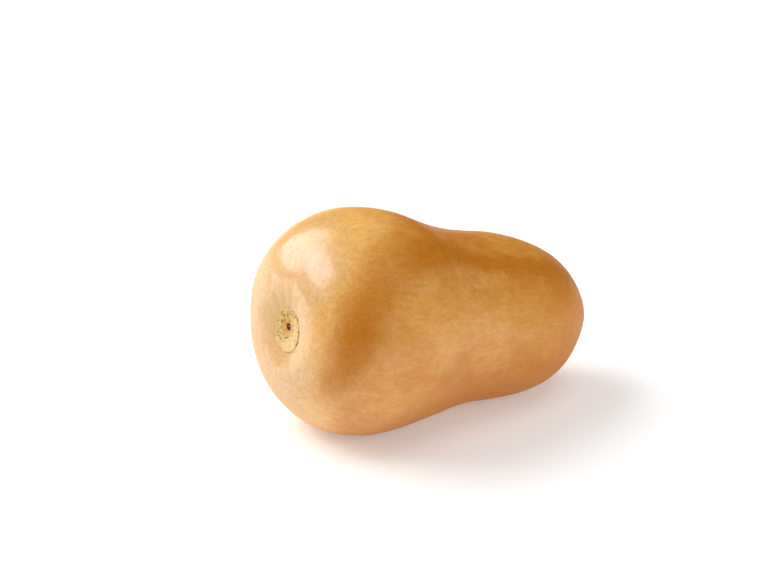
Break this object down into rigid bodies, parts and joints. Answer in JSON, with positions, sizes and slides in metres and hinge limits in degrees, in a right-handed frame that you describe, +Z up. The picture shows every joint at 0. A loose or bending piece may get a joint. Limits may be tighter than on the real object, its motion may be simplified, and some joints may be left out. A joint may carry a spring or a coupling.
{
  "type": "butternut squash",
  "caption": "Whole butternut squash lying on its side, with a round bulb, a stout neck, a corky blossom scar and the broken stub of its stem.",
  "frame": {"origin": "on the surface that the squash lies on, under the middle of its bounding box", "axes": "+Z up; the squash's axis is in the XZ plane, with the blossom end towards -X and the stem end towards +X, 10.6 degrees below level at the stem end"},
  "size_m": [0.192, 0.123, 0.117],
  "materials": {
    "skin": "satin",
    "stem": "matte"
  },
  "bodies": {
    "root": {"fruit": "skin", "stem": "stem"}
  },
  "joints": []
}
